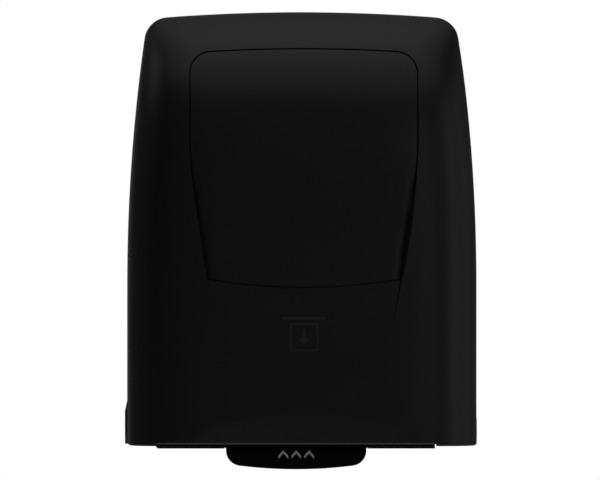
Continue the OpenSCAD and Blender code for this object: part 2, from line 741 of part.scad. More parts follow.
// Coil springs that close the arms, round the upper ends of the pins
spring_gap = 0.5;
spring_lift = 0.1;
spring_pitch = spring_wire + spring_gap;
arm_spring_turns = floor((arm_pin_top - 2 * spring_wire) / spring_pitch);
arm_spring_low = arm_pin_low + arm_pin_len - arm_pin_top + spring_wire / 2 + spring_lift;
module arm_springs() piece(steel)
    for (side = [-1, 1])
        translate([side * arm_pivot[0], arm_pivot[1], arm_spring_low])
            coil(arm_pin_d / 2 + spring_wire / 2 + clearance, spring_wire, arm_spring_turns, spring_pitch);

// Hub that carries one end of the roll's core, drawn for the right
hub_chamfer = 1;
hub_draft = 0.5;
hub_lead = [3, 4];
module roll_hub() translate([roll_w / 2 + hub_flange_t, -roll_back, roll_h]) rotate([0, -90, 0])
    rotate_extrude() polygon([
        [hub_axle_d / 2 + running, 0], [hub_flange_d / 2, 0], [hub_flange_d / 2, hub_flange_t - hub_chamfer],
        [hub_flange_d / 2 - hub_chamfer, hub_flange_t], [hub_plug_d / 2, hub_flange_t],
        [hub_plug_d / 2 - hub_draft, hub_flange_t + hub_plug_len - hub_lead[1]],
        [hub_plug_d / 2 - hub_lead[0], hub_flange_t + hub_plug_len],
        [hub_axle_d / 2 + running, hub_flange_t + hub_plug_len],
    ]);
module roll_hub_right() piece(pale_plastic) roll_hub();
module roll_hub_left() piece(pale_plastic) mirror([1, 0, 0]) roll_hub();

// Side plate of the feed module, drawn for the right, with screw flanges turned inwards at the back
side_low = 6;
side_nose = 12;
side_rise = 52;
side_setback = 20;
side_corner_r = 4;
paddle_rise = 9;
pinch_rise = 16;
bush_t = 2.5;
module side_plate() difference() {
    union() {
        across(side_in, side_t) polygon(rounded([
            [-plate_t, side_low], [paddle_at[0] - side_nose / 2, side_low],
            [paddle_at[0] - side_nose, paddle_at[1] + paddle_rise],
            [pinch_at[0] - side_nose, pinch_at[1] + pinch_rise],
            [-drum_back + side_setback, drum_h + side_rise], [-plate_t, drum_h + side_rise],
        ], side_corner_r));
        for (h = flange_screw_h)
            translate([side_in - flange_w, -plate_t - flange_t, h - flange_h / 2])
                cube([flange_w + eps, flange_t, flange_h]);
    }
    rod(side_in - 1, side_t + 2, drum_at, bearing_d + 2 * running);
    rod(side_in - 1, side_t + 2, pinch_at, pinch_shaft_d + 2 * bush_t + 2 * running);
    rod(side_in - 1, side_t + 2, paddle_at, paddle_shaft_d + 2 * running);
    for (h = flange_screw_h)
        translate([side_in - flange_w / 2, 0, h])
            rotate([90, 0, 0]) cylinder(d = small_screw_d + 2 * running, h = beyond / 2);
}
module side_plate_right() piece(grey_plastic) in_module() side_plate();
module side_plate_left() piece(grey_plastic) in_module() mirror([1, 0, 0]) side_plate();

// Children drawn along the axis of each small screw, from the wall forwards
module small_screw_places() {
    in_module() both_sides()
        for (h = flange_screw_h) translate([side_in - flange_w / 2, 0, h]) rotate([90, 0, 0]) children();
    for (drop = keeper_screw_drop)
        translate([keeper_x + keeper_w / 2, 0, keeper_shelf_h - drop]) rotate([90, 0, 0]) children();
}
module chassis_screws() piece(steel) small_screw_places() {
    translate([0, 0, plate_t - screw_bite + clearance])
        cylinder(d = small_screw_d - 2 * running, h = flange_t + screw_bite);
    translate([0, 0, plate_t + flange_t]) cylinder(d = small_head_d, h = small_head_t);
}

// Paper chute: bottom plates each side of the paper slot, front lip, end walls and a guide under the drum
paddle_play = 1.5;
module paper_chute() piece(black_plastic) in_module() difference() {
    inner = side_in - clearance;
    union() {
        across(-module_half, 2 * module_half) polygon([
            [-chute_front, chute_low], [-slot_front, chute_low], [-slot_front, chute_low + chute_t],
            [-chute_front + chute_t, chute_low + chute_t], [-chute_front + chute_t, chute_lip_h],
            [-chute_front, chute_lip_h],
        ]);
        across(-inner, 2 * inner)
            translate([-chute_front, chute_low]) square([chute_t, chute_rise - chute_low]);
        across(-module_half, 2 * module_half)
            translate([-slot_back, chute_low]) square([slot_back - chute_back, chute_t]);
        for (x = [-inner, inner - chute_t]) across(x, chute_t) polygon([
            [-chute_front, chute_low], [-chute_back, chute_low], [-chute_back, chute_rise + chute_wall_rise],
            [-slot_back, chute_rise + chute_wall_rise], [-slot_back - chute_wall_rise, chute_rise],
            [-chute_front, chute_rise],
        ]);
        across(-drum_half, 2 * drum_half) intersection() {
            translate(drum_at) circle(guide_r + chute_t);
            guide_view();
        }
        for (i = [-1:1]) across(i * (drum_half - chute_t) - chute_t / 2, chute_t) guide_view();
    }
    rod(-cover_w / 2, cover_w, drum_at, 2 * guide_r);
    translate([-paddle_w / 2 - paddle_play, -chute_front - 1, chute_low - 1])
        cube([paddle_w + 2 * paddle_play, chute_front - slot_front + 2, chute_rise - chute_low + 2]);
}

// Space between the bottom plate and the drum that the guide and its ribs lie in
module guide_view()
    translate([-slot_back + guide_start, chute_low])
        square([guide_len, drum_h - drum_r + guide_start - chute_low]);

// Slot for the blade, cut through the drum's wall and the grip bands
blade_inset = 6;
blade_w = 2 * drum_half - 2 * blade_inset;
blade_h = 12;
blade_t = 1.2;
blade_turn = 70;
blade_teeth = 48;
tooth_h = 2.5;
module at_blade() translate([0, drum_at[0], drum_at[1]]) rotate([blade_turn, 0, 0]) children();
module blade_slot() at_blade()
    translate([-blade_w / 2 - 1, -blade_t / 2 - clearance, 0])
        cube([blade_w + 2, blade_t + 2 * clearance, drum_r + 1]);

// Feed drum: a tube with end walls and a hub on the shaft
drum_wall = 4;
drum_end_t = 5;
drum_hub_t = 5;
module feed_drum() piece(pale_plastic) in_module() difference() {
    shell_r = drum_r - band_t;
    union() {
        ring(-drum_half, 2 * drum_half, drum_at, 2 * shell_r, 2 * (shell_r - drum_wall));
        for (x = [-drum_half, drum_half - drum_end_t]) rod(x, drum_end_t, drum_at, 2 * shell_r - drum_wall);
        rod(-drum_half, 2 * drum_half, drum_at, drum_shaft_d + 2 * drum_hub_t);
    }
    rod(-2 * drum_half, 4 * drum_half, drum_at, drum_shaft_d + 2 * running);
    blade_slot();
}

// Shaft of the drum, through both side plates to the knob
knob_play = 1;
knob_x = module_half + knob_play;
knob_len = cover_w / 2 - wall - knob_gap + module_shift - knob_x;
module drum_shaft() piece(steel) in_module()
    rod(-module_half - 1, module_half + knob_x + knob_len, drum_at, drum_shaft_d);

// Rubber bands that grip the paper
module grip_bands() piece(rubber) in_module() difference() {
    for (i = [0:band_count - 1])
        ring(band_x(i) - band_w / 2, band_w, drum_at, 2 * drum_r, 2 * (drum_r - band_t) + 2 * running);
    blade_slot();
}

// Serrated cutting blade, resting in the drum's slot
module knife_blade() piece(steel) in_module() at_blade() {
    step = blade_w / blade_teeth;
    edge = drum_r - band_t - 1;
    saw = [for (i = [0:blade_teeth]) each [
        [-blade_w / 2 + i * step, edge - tooth_h],
        if (i < blade_teeth) [-blade_w / 2 + (i + 0.5) * step, edge]]];
    translate([0, blade_t / 2, 0]) rotate([90, 0, 0]) linear_extrude(blade_t)
        polygon(concat(saw, [[blade_w / 2, edge - blade_h], [-blade_w / 2, edge - blade_h]]));
}

// Plain bearings of the drum shaft in the side plates, each with a lip inside
bearing_lip = 2;
bearing_lip_t = 1.5;
module drum_bearings() piece(brass_colour) in_module() both_sides() {
    bore = drum_shaft_d + 2 * running;
    ring(side_in - bearing_lip_t, side_t + bearing_lip_t, drum_at, bearing_d, bore);
    ring(side_in - bearing_lip_t, bearing_lip_t - eps, drum_at, bearing_d + 2 * bearing_lip, bore);
}

// Hand knob on the shaft's right end, with finger flutes
knob_rim = 2;
knob_lip = 4;
flute_r = 3.8;
flute_start = 3;
module feed_knob() piece(green_plastic) in_module() difference() {
    union() {
        rod(knob_x, knob_len - knob_rim, drum_at, knob_d);
        rod(knob_x, knob_len, drum_at, knob_d - 2 * knob_lip);
    }
    rod(knob_x - 1, knob_len + 2, drum_at, drum_shaft_d + 2 * running);
    for (i = [0:knob_flutes - 1])
        let (a = 360 * i / knob_flutes)
            rod(knob_x + flute_start, knob_len, drum_at + knob_d / 2 * [cos(a), sin(a)], 2 * flute_r);
}

// Pinch rollers on their shaft, facing the grip bands
shaft_inset = 0.5;
module pinch_shaft() piece(steel) in_module()
    rod(-module_half + shaft_inset, 2 * (module_half - shaft_inset), pinch_at, pinch_shaft_d);
module pinch_rollers() piece(rubber) in_module()
    for (i = [0:band_count - 1])
        ring(band_x(i) - band_w / 2, band_w, pinch_at, pinch_d, pinch_shaft_d + 2 * running);
module pinch_bushes() piece(pale_plastic) in_module() both_sides() {
    bush_d = pinch_shaft_d + 2 * bush_t;
    bore = pinch_shaft_d + 2 * running;
    ring(side_in - bearing_lip_t, side_t + bearing_lip_t, pinch_at, bush_d, bore);
    ring(side_in - bearing_lip_t, bearing_lip_t - eps, pinch_at, bush_d + 2 * bearing_lip, bore);
}

// Push paddle: a moulded plate under a hub on the paddle shaft, with three ribs behind it
paddle_hub_d = 14;
paddle_sleeve_t = 2.5;
paddle_proud = 1.5;
paddle_lean = 1.5;
paddle_bend_h = 18;
paddle_root = [2, 4];
paddle_rib_t = 3;
paddle_rib_h = [12, 14];
paddle_rib_d = 6;
paddle_front = chute_front + paddle_proud;
module push_paddle() piece(black_plastic) in_module() difference() {
    sleeve_d = paddle_shaft_d + 2 * paddle_sleeve_t;
    front = -paddle_front;
    root = paddle_at[0] - paddle_hub_d / 2;
    union() {
        rod(-paddle_w / 2, paddle_w, paddle_at, paddle_hub_d);
        rod(paddle_w / 2 - eps, spring_len + 2 * spring_play, paddle_at, sleeve_d);
        intersection() {
            across(-paddle_w / 2, paddle_w) polygon([
                [root, paddle_at[1]], [front + paddle_lean, paddle_bend_h], [front, -paddle_drop - 1],
                [front + paddle_t, -paddle_drop - 1], [front + paddle_t + paddle_lean, paddle_bend_h],
                [root + paddle_t + paddle_root[0], paddle_at[1] - paddle_root[1]],
            ]);
            forward(0, cover_d) paddle_view();
        }
        for (i = [-1:1]) across(i * paddle_w / 3 - paddle_rib_t / 2, paddle_rib_t) polygon([
            [root + paddle_t, paddle_at[1]], [front + paddle_t, paddle_rib_h[0]],
            [front + paddle_t + paddle_rib_d, paddle_rib_h[1]],
            [root + paddle_hub_d - paddle_rib_t, paddle_at[1]],
        ]);
    }
    rod(-cover_w / 2, cover_w, paddle_at, paddle_shaft_d + 2 * running);
}

// Front view of the paddle: a gently curved lower edge, with round corners that run into it
module paddle_view() {
    half = paddle_w / 2;
    edge_z = paddle_edge_r - paddle_drop;
    corner_x = half - paddle_corner_r;
    reach = paddle_edge_r - paddle_corner_r;
    corner_z = edge_z - sqrt(reach * reach - corner_x * corner_x);
    turn = asin(corner_x / reach);
    corner = [for (i = [0:6]) let (a = turn + (90 - turn) * i / 6)
        [corner_x + paddle_corner_r * sin(a), corner_z - paddle_corner_r * cos(a)]];
    edge = [for (i = [1:11]) let (a = turn * (i / 6 - 1))
        [paddle_edge_r * sin(a), edge_z - paddle_edge_r * cos(a)]];
    polygon(concat([[-half, cover_h / 2]], mirrored(corner), edge, corner, [[half, cover_h / 2]]));
}

// Shaft of the paddle, which carries the sector gear
module paddle_shaft() piece(steel) in_module()
    rod(-module_half + shaft_inset, 2 * (module_half - shaft_inset), paddle_at, paddle_shaft_d);

// Return spring, coiled round the paddle's long hub
spring_turns = 8;
spring_play = 0.8;
spring_len = spring_turns * spring_pitch + spring_wire;
module paddle_spring() piece(steel) in_module()
    translate([paddle_w / 2 + spring_wire / 2 + spring_play, paddle_at[0], paddle_at[1]]) rotate([0, 90, 0])
        coil(paddle_shaft_d / 2 + paddle_sleeve_t + spring_wire / 2 + clearance, spring_wire, spring_turns,
             spring_pitch);

// Toothed sector on the paddle shaft, with round windows in its web
sector_margin = 6;
sector_hub_t = 7;
window_d = 15;
window_r = 53;
small_window_d = 10;
small_window_r = 36;
module sector_gear() piece(grey_plastic) in_module() {
    pitch_turn = 360 / sector_teeth;
    above = ceil(sector_margin / pitch_turn);
    below = ceil((paddle_travel + sector_margin) / pitch_turn);
    across(gear_x, gear_w) translate(paddle_at) difference() {
        union() {
            polygon(concat([[0, 0]],
                [for (i = [-below:above]) each tooth(sector_teeth, paddle_fall + i * pitch_turn)]));
            circle(d = paddle_shaft_d + 2 * sector_hub_t);
        }
        circle(d = paddle_shaft_d + 2 * running);
        rotate(paddle_fall - paddle_travel / 2) {
            translate([window_r, 0]) circle(d = window_d);
            translate([small_window_r, 0]) circle(d = small_window_d);
        }
    }
}

// Clutch gear that the sector drives, free on the drum shaft in one direction
one_way_t = 4;
clutch_bore = drum_shaft_d + 2 * one_way_t;
module clutch_gear() piece(green_plastic) in_module() {
    pitch_turn = 360 / clutch_teeth;
    first = paddle_fall + 180 + pitch_turn / 2;
    across(gear_x, gear_w) translate(drum_at) difference() {
        polygon([for (i = [0:clutch_teeth - 1]) each tooth(clutch_teeth, first + i * pitch_turn)]);
        circle(d = clutch_bore);
    }
}
module one_way_bearing() piece(steel) in_module()
    ring(gear_x, gear_w, drum_at, clutch_bore - 2 * running, drum_shaft_d + 2 * running);

rear_chassis();
hinge_pins();
front_cover();
cover_panel();
lock_barrel();
lock_plug();
lock_cam();
lock_keeper();
roll_arm_left();
roll_arm_right();
arm_pins();
arm_springs();
roll_hub_left();
roll_hub_right();
side_plate_left();
side_plate_right();
chassis_screws();
paper_chute();
feed_drum();
drum_shaft();
grip_bands();
knife_blade();
drum_bearings();
feed_knob();
pinch_shaft();
pinch_rollers();
pinch_bushes();
push_paddle();
paddle_shaft();
sector_gear();
paddle_spring();
clutch_gear();
one_way_bearing();
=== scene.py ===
import math

import bmesh
import bpy
from mathutils import Matrix, Vector


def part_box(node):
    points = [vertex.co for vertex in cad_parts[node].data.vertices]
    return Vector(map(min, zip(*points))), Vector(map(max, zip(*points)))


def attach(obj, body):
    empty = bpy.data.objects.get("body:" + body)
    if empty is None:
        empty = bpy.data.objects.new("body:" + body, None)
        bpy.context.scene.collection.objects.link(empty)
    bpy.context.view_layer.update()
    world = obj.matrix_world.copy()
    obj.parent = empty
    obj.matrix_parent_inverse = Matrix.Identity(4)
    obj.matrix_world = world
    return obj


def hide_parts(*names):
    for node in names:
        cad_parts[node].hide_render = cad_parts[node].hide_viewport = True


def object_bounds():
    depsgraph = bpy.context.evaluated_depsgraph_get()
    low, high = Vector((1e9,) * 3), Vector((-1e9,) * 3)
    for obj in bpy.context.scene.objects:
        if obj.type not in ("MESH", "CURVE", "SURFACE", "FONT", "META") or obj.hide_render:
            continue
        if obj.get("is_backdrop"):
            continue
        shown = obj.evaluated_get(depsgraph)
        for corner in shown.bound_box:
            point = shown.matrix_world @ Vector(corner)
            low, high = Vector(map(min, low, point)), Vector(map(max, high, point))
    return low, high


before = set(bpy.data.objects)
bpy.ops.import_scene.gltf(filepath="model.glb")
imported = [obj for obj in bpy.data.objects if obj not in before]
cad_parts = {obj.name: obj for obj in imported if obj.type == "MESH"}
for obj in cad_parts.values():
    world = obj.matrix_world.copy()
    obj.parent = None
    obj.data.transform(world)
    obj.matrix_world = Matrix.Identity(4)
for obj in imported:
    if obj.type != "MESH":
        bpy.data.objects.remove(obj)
cad_low, cad_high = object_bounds()

# Camera
# A very long lens at half height, turned a little so that the left side is just the nearer one.
mm = 0.001
image_width = 600
sensor = 36.0
focal_pixels = 21373.0
camera_distance = 20000 * mm
camera_side = -288.2 * mm
camera_height = -54 * mm
camera_turn = math.radians(-0.824)
lens = bpy.data.cameras.new("camera")
lens.sensor_width = sensor
lens.lens = focal_pixels * sensor / image_width
lens.clip_end = 50
camera = bpy.data.objects.new("camera", lens)
camera.matrix_world = (
    Matrix.Translation((camera_side, -camera_distance, camera_height))
    @ Matrix.Rotation(camera_turn, 4, "Z")
    @ Matrix.Rotation(math.pi / 2, 4, "X")
)
bpy.context.scene.collection.objects.link(camera)
bpy.context.scene.camera = camera


# Rear chassis
# One black ABS moulding screwed to the wall: back plate, rim, ribs, arm knuckles and hinge ears. The
# paper chute under the drum is moulded from the same plastic. The tool's spark-eroded texture gives
# both a dull satin look that breaks up every reflection.
def colour(code):
    """Linear colour of an sRGB hex value."""
    parts = [int(code[i : i + 2], 16) / 255 for i in (1, 3, 5)]
    return [p / 12.92 if p <= 0.04045 else ((p + 0.055) / 1.055) ** 2.4 for p in parts] + [1.0]


def add(tree, kind, inputs=None, **settings):
    """A new node with its settings; an input is a value or the socket that feeds it."""
    node = tree.nodes.new(kind)
    for name, value in settings.items():
        setattr(node, name, value)
    for name, value in (inputs or {}).items():
        if isinstance(value, bpy.types.NodeSocket):
            tree.links.new(value, node.inputs[name])
        else:
            node.inputs[name].default_value = value
    return node


def blank_material(name):
    """A new material and its emptied tree."""
    material = bpy.data.materials.new(name)
    material.use_nodes = True
    material.node_tree.nodes.clear()
    return material, material.node_tree


def moulded_plastic(name, body, cloudy, roughness, grain, depth, shine=0.5):
    """Injection-moulded plastic: faint clouding in the colour, and the tool's grain as bump."""
    material, tree = blank_material(name)
    place = add(tree, "ShaderNodeTexCoord").outputs["Object"]
    cloud_size = 60 * mm
    gloss_swing = 0.05
    clouds = add(tree, "ShaderNodeTexNoise", {"Vector": place, "Scale": 1 / cloud_size, "Detail": 3.0})
    pores = add(tree, "ShaderNodeTexNoise", {"Vector": place, "Scale": 1 / grain, "Detail": 2.0})
    tint = add(tree, "ShaderNodeMix", {"Factor": clouds.outputs["Fac"]}, data_type="RGBA")
    tint.inputs["A"].default_value = colour(body)
    tint.inputs["B"].default_value = colour(cloudy)
    gloss = add(tree, "ShaderNodeMapRange", {"Value": pores.outputs["Fac"]})
    gloss.inputs["To Min"].default_value = roughness - gloss_swing
    gloss.inputs["To Max"].default_value = roughness + gloss_swing
    bump = add(tree, "ShaderNodeBump", {
        "Height": pores.outputs["Fac"], "Distance": depth, "Strength": 0.5,
    })
    shader = add(tree, "ShaderNodeBsdfPrincipled", {
        "Base Color": tint.outputs["Result"], "Roughness": gloss.outputs["Result"],
        "Normal": bump.outputs["Normal"], "Specular IOR Level": shine,
    })
    add(tree, "ShaderNodeOutputMaterial", {"Surface": shader.outputs["BSDF"]})
    return material


def dress(material, *names):
    """Give CAD nodes a material."""
    for name in names:
        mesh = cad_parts[name].data
        mesh.materials.clear()
        mesh.materials.append(material)


# The real grain is about 0.1 mm, too fine to show in a render, so every plastic's is drawn coarser.
black_abs = moulded_plastic("black_abs_satin", "#060607", "#08080a", 0.5, 0.9 * mm, 0.02 * mm, shine=0.18)
dress(black_abs, "rear_chassis", "paper_chute")


# Cover hinge pins, arm pins and shafts
# Plain turned steel with bright zinc plate: even grey metal with fine marks in its gloss. The pins sit
# in the ears and knuckles, the shafts run in bearings and bushes, and a one-way ring is on the drum's.
def bright_metal(name, body, worn, roughness, mark_size):
    """Plated, drawn or turned metal: fine marks in the gloss and a slight change of tone."""
    material, tree = blank_material(name)
    place = add(tree, "ShaderNodeTexCoord").outputs["Object"]
    tone_size = 10 * mark_size
    gloss_swing = 0.08
    marks = add(tree, "ShaderNodeTexNoise", {"Vector": place, "Scale": 1 / mark_size, "Detail": 4.0})
    tone = add(tree, "ShaderNodeTexNoise", {"Vector": place, "Scale": 1 / tone_size, "Detail": 2.0})
    tint = add(tree, "ShaderNodeMix", {"Factor": tone.outputs["Fac"]}, data_type="RGBA")
    tint.inputs["A"].default_value = colour(body)
    tint.inputs["B"].default_value = colour(worn)
    gloss = add(tree, "ShaderNodeMapRange", {"Value": marks.outputs["Fac"]})
    gloss.inputs["To Min"].default_value = roughness - gloss_swing
    gloss.inputs["To Max"].default_value = roughness + gloss_swing
    shader = add(tree, "ShaderNodeBsdfPrincipled", {
        "Base Color": tint.outputs["Result"], "Roughness": gloss.outputs["Result"], "Metallic": 1.0,
    })
    add(tree, "ShaderNodeOutputMaterial", {"Surface": shader.outputs["BSDF"]})
    return material


# Real marks are about 0.1 mm apart, too fine to show in a render, so every metal's are drawn coarser.
zinc_steel = bright_metal("zinc_plated_steel", "#b9bcc0", "#a4a8ad", 0.3, 0.8 * mm)
dress(zinc_steel, "hinge_pins", "arm_pins", "drum_shaft", "pinch_shaft", "paddle_shaft", "one_way_bearing")


# Roll holder
# Two moulded grey ABS arms on pins, with off-white acetal hubs that turn on them and fill the ends of
# the roll's core. The arms look satin, and the hubs are smoother with a soft, waxy shine.
grey_abs = moulded_plastic("grey_abs_satin", "#878b90", "#93979c", 0.45, 0.9 * mm, 0.02 * mm)
white_acetal = moulded_plastic("off_white_acetal", "#d4d4cd", "#dcdcd6", 0.35, 0.6 * mm, 0.01 * mm)
dress(grey_abs, "roll_arm_left", "roll_arm_right")
dress(white_acetal, "roll_hub_left", "roll_hub_right")


# Coil springs
# Drawn spring wire wound cold: two close the arms round their pins, one returns the paddle. Drawing
# leaves the wire a little darker than plated steel, with a soft shine.
coil_steps, wire_sides = 40, 14


def spring_tree():
    """Round wire along a helix on Z, then turned and moved to its place."""
    tree = bpy.data.node_groups.new("coil_spring", "GeometryNodeTree")
    tree.interface.new_socket("Spring", in_out="OUTPUT", socket_type="NodeSocketGeometry")
    sizes = ("Wire", "Mean Radius", "Turns", "Length")
    for size in sizes:
        tree.interface.new_socket(size, in_out="INPUT", socket_type="NodeSocketFloat")
    for place in ("Turn", "Place"):
        tree.interface.new_socket(place, in_out="INPUT", socket_type="NodeSocketVector")
    tree.interface.new_socket("Finish", in_out="INPUT", socket_type="NodeSocketMaterial")
    given = add(tree, "NodeGroupInput").outputs
    helix = add(tree, "GeometryNodeCurveSpiral", {
        "Resolution": coil_steps, "Rotations": given["Turns"], "Start Radius": given["Mean Radius"],
        "End Radius": given["Mean Radius"], "Height": given["Length"],
    })
    half = add(tree, "ShaderNodeMath", {0: given["Wire"], 1: 0.5}, operation="MULTIPLY")
    wire = add(tree, "GeometryNodeCurvePrimitiveCircle", {
        "Resolution": wire_sides, "Radius": half.outputs[0],
    })
    tube = add(tree, "GeometryNodeCurveToMesh", {
        "Curve": helix.outputs[0], "Profile Curve": wire.outputs["Curve"], "Fill Caps": True,
    })
    placed = add(tree, "GeometryNodeTransform", {
        "Geometry": tube.outputs["Mesh"], "Rotation": given["Turn"], "Translation": given["Place"],
    })
    smooth = add(tree, "GeometryNodeSetShadeSmooth", {"Geometry": placed.outputs["Geometry"]})
    real = add(tree, "GeometryNodeRealizeInstances", {"Geometry": smooth.outputs["Geometry"]})
    painted = add(tree, "GeometryNodeSetMaterial", {
        "Geometry": real.outputs["Geometry"], "Material": given["Finish"],
    })
    add(tree, "NodeGroupOutput", {"Spring": painted.outputs["Geometry"]})
    return tree


def grown(tree, values, base=None):
    """Plain mesh that a node tree makes from these input values."""
    host = bpy.data.objects.new("host", base or bpy.data.meshes.new("host"))
    bpy.context.scene.collection.objects.link(host)
    modifier = host.modifiers.new("grow", "NODES")
    modifier.node_group = tree
    for item in tree.interface.items_tree:
        if item.in_out == "INPUT" and item.name in values:
            modifier[item.identifier] = values[item.name]
    bpy.context.view_layer.update()
    mesh = bpy.data.meshes.new_from_object(host.evaluated_get(bpy.context.evaluated_depsgraph_get()))
    bpy.data.objects.remove(host)
    return mesh


def in_scene(name, mesh):
    """Object of the scene made from an edit mesh, which is used up."""
    made = bpy.data.meshes.new(name)
    mesh.to_mesh(made)
    mesh.free()
    piece = bpy.data.objects.new(name, made)
    bpy.context.scene.collection.objects.link(piece)
    return piece


def joined(name, meshes):
    """One object of several meshes that share their materials."""
    whole = bmesh.new()
    for mesh in meshes:
        whole.from_mesh(mesh)
    piece = in_scene(name, whole)
    for material in meshes[0].materials:
        piece.data.materials.append(material)
    return piece


spring_steel = bright_metal("drawn_spring_wire", "#9a9da1", "#85888d", 0.34, 0.5 * mm)
coil_spring = spring_tree()
wire_d = 1.2 * mm
low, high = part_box("arm_springs")
coil_r = (high.y - low.y) / 2 - wire_d / 2
arm_coils = [
    grown(coil_spring, {
        "Wire": wire_d, "Mean Radius": coil_r, "Turns": 4.0, "Length": high.z - low.z - wire_d,
        "Turn": (0.0, 0.0, 0.0), "Finish": spring_steel,
        "Place": (x, (low.y + high.y) / 2, low.z + wire_d / 2),
    })
    for x in (low.x + coil_r + wire_d / 2, high.x - coil_r - wire_d / 2)
]
arm_springs = joined("arm_coil_springs", arm_coils)
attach(arm_springs, "chassis")
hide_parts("arm_springs")

low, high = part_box("paddle_spring")
paddle_coil = grown(coil_spring, {
    "Wire": wire_d, "Mean Radius": (high.y - low.y) / 2 - wire_d / 2, "Turns": 8.0,
    "Length": high.x - low.x - wire_d, "Turn": (0.0, math.pi / 2, 0.0), "Finish": spring_steel,
    "Place": (low.x + wire_d / 2, (low.y + high.y) / 2, (low.z + high.z) / 2),
})
paddle_spring = joined("paddle_coil_spring", [paddle_coil])
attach(paddle_spring, "chassis")
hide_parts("paddle_spring")


# Feed module: plates, drum, pinch rollers and gears
# Grey ABS side plates carry an acetal drum with rubber bands and a blade. The hand knob and the clutch
# gear are green acetal and the bearings turned brass. Rubber looks matt and the ground blade brightest.
green_acetal = moulded_plastic("green_acetal", "#4a9545", "#529c4c", 0.36, 0.6 * mm, 0.01 * mm)
turned_brass = bright_metal("turned_brass", "#b8964f", "#a58443", 0.28, 0.6 * mm)
ground_steel = bright_metal("ground_blade_steel", "#c4c7ca", "#b0b4b8", 0.24, 0.4 * mm)
dress(grey_abs, "side_plate_left", "side_plate_right", "sector_gear", "lock_keeper")
dress(white_acetal, "feed_drum", "pinch_bushes")
dress(green_acetal, "feed_knob", "clutch_gear")
dress(turned_brass, "drum_bearings")
dress(ground_steel, "knife_blade")
black_rubber = moulded_plastic(
    "ground_black_rubber", "#242425", "#2d2d2e", 0.75, 0.7 * mm, 0.05 * mm, shine=0.2)
dress(black_rubber, "grip_bands", "pinch_rollers")


# Small screws
# Zinc-plated pan heads with a cross recess, which hold the side plates and the lock keeper to the
# chassis. Their threads are hidden, so the shanks are plain.
same_point = 0.001 * mm


def islands(name):
    """Lowest and highest corners of the separate solids in a CAD node."""
    mesh = bmesh.new()
    mesh.from_mesh(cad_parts[name].data)
    bmesh.ops.remove_doubles(mesh, verts=mesh.verts, dist=same_point)
    left = set(mesh.verts)
    boxes = []
    while left:
        group, front = set(), [left.pop()]
        while front:
            vert = front.pop()
            group.add(vert)
            near = {edge.other_vert(vert) for edge in vert.link_edges} & left
            left -= near
            front.extend(near)
        corners = list(zip(*(vert.co for vert in group)))
        boxes.append((Vector(map(min, corners)), Vector(map(max, corners))))
    mesh.free()
    return sorted(boxes, key=lambda box: tuple(box[0]))


def turned(name, profile, steps=40, sharp=35):
    """Solid of revolution about Z from points (radius, height)."""
    mesh = bmesh.new()
    points = [mesh.verts.new((r, 0, z)) for r, z in profile]
    edges = [mesh.edges.new(pair) for pair in zip(points, points[1:])]
    bmesh.ops.spin(
        mesh, geom=points + edges, cent=(0, 0, 0), axis=(0, 0, 1), angle=2 * math.pi, steps=steps)
    bmesh.ops.remove_doubles(mesh, verts=mesh.verts, dist=same_point)
    bmesh.ops.recalc_face_normals(mesh, faces=mesh.faces)
    piece = in_scene(name, mesh)
    piece.data.shade_smooth()
    piece.data.set_sharp_from_angle(angle=math.radians(sharp))
    return piece


def loft(name, sections):
    """Closed solid through sections with the same number of points."""
    mesh = bmesh.new()
    rings = [[mesh.verts.new(p) for p in section] for section in sections]
    mesh.faces.new(rings[0])
    mesh.faces.new(rings[-1])
    n = len(rings[0])
    for a, b in zip(rings, rings[1:]):
        for i in range(n):
            mesh.faces.new((a[i], a[(i + 1) % n], b[(i + 1) % n], b[i]))
    bmesh.ops.recalc_face_normals(mesh, faces=mesh.faces)
    return in_scene(name, mesh)


def prism(name, outline, low, high, axis="Y"):
    """Closed solid of an outline, between two places along an axis."""
    slot = "XYZ".index(axis)
    return loft(name, [[(*p[:slot], along, *p[slot:]) for p in outline] for along in (low, high)])


def carve(piece, cutters, operation="DIFFERENCE"):
    """Cut a piece by the cutters, which are used up."""
    for cutter in cutters:
        modifier = piece.modifiers.new("cut", "BOOLEAN")
        modifier.operation = operation
        modifier.solver = "EXACT"
        modifier.object = cutter
    bpy.context.view_layer.update()
    made = bpy.data.meshes.new_from_object(piece.evaluated_get(bpy.context.evaluated_depsgraph_get()))
    piece.modifiers.clear()
    piece.data = made
    for cutter in cutters:
        bpy.data.objects.remove(cutter)


def rectangle(width, height, x=0.0, y=0.0):
    """Corners of a rectangle centred on a point."""
    return [(x + a * width / 2, y + b * height / 2) for a, b in ((-1, -1), (1, -1), (1, 1), (-1, 1))]


def scatter_tree():
    """One template at every point of the mesh, turned to face the front."""
    tree = bpy.data.node_groups.new("screw_scatter", "GeometryNodeTree")
    tree.interface.new_socket("Screws", in_out="OUTPUT", socket_type="NodeSocketGeometry")
    tree.interface.new_socket("Places", in_out="INPUT", socket_type="NodeSocketGeometry")
    tree.interface.new_socket("Template", in_out="INPUT", socket_type="NodeSocketObject")
    tree.interface.new_socket("Turn", in_out="INPUT", socket_type="NodeSocketVector")
    tree.interface.new_socket("Finish", in_out="INPUT", socket_type="NodeSocketMaterial")
    given = add(tree, "NodeGroupInput").outputs
    source = add(tree, "GeometryNodeObjectInfo", {"Object": given["Template"]})
    copies = add(tree, "GeometryNodeInstanceOnPoints", {
        "Points": given["Places"], "Instance": source.outputs["Geometry"], "Rotation": given["Turn"],
    })
    real = add(tree, "GeometryNodeRealizeInstances", {"Geometry": copies.outputs["Instances"]})
    painted = add(tree, "GeometryNodeSetMaterial", {
        "Geometry": real.outputs["Geometry"], "Material": given["Finish"],
    })
    add(tree, "NodeGroupOutput", {"Screws": painted.outputs["Geometry"]})
    return tree


